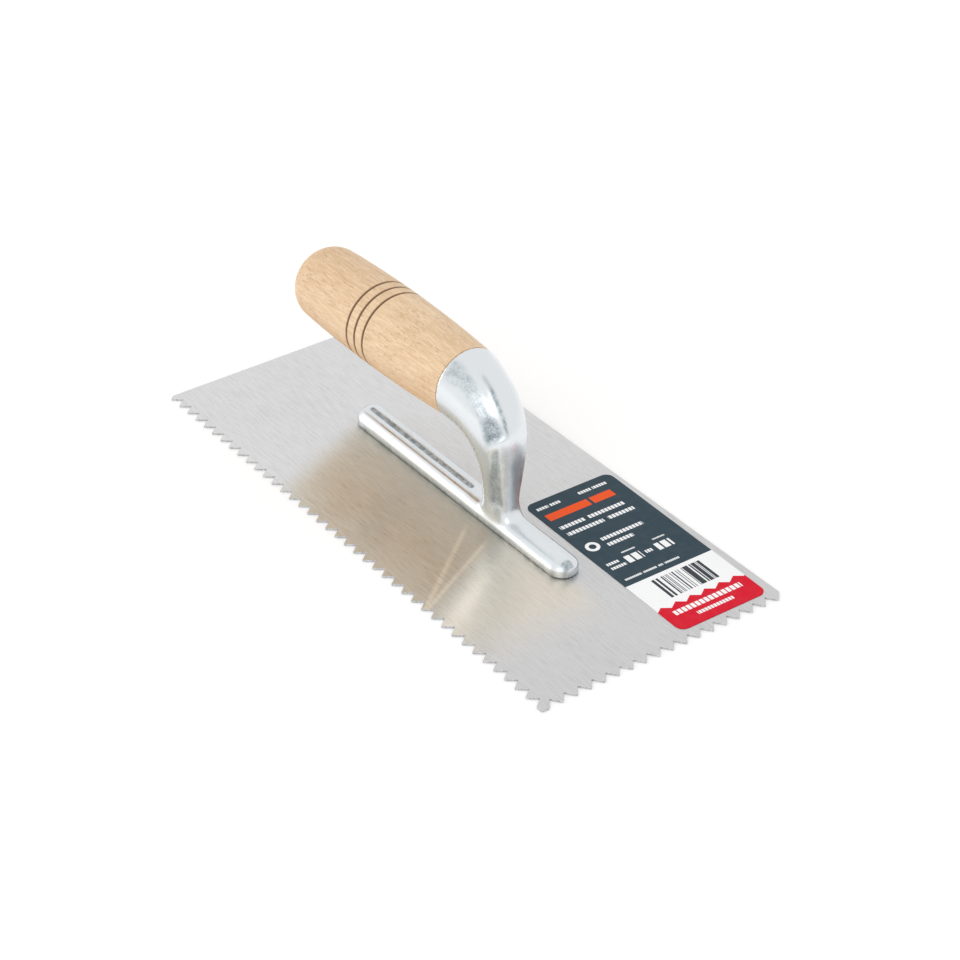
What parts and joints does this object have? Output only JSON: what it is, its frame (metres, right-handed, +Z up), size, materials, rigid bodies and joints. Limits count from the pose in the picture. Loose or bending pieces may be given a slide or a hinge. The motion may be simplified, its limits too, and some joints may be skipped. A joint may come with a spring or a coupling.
{
  "type": "notched trowel",
  "caption": "Adhesive trowel with a V-notched steel blade, a riveted cast mount with a gooseneck, and a turned wooden handle.",
  "frame": {"origin": "middle of the blade's underside, where the tool rests on the work", "axes": "+X along the blade towards its notched short edge, +Y towards the plain long edge, +Z up out of the blade towards the handle"},
  "size_m": [0.28, 0.127, 0.0772],
  "materials": {
    "blade_steel": "satin, rolled and polished along the blade, with fine scratches",
    "cast_aluminium": "buffed bright on the high surfaces, as cast and grainy in the hollows",
    "rivet_steel": "peened and ground flush",
    "beech": "turned, sanded, waxed, with burnt rings",
    "zinc_steel": "bright zinc plated",
    "label_film": "printed film, satin"
  },
  "bodies": {
    "root": {"notched_blade": "blade_steel", "mount_casting": "cast_aluminium", "rivet_1": "rivet_steel", "rivet_2": "rivet_steel", "rivet_3": "rivet_steel", "rivet_4": "rivet_steel", "rivet_5": "rivet_steel", "rivet_6": "rivet_steel", "beech_handle": "beech", "handle_screw": "zinc_steel", "screw_washer": "zinc_steel", "adhesive_label": "label_film"}
  },
  "joints": []
}
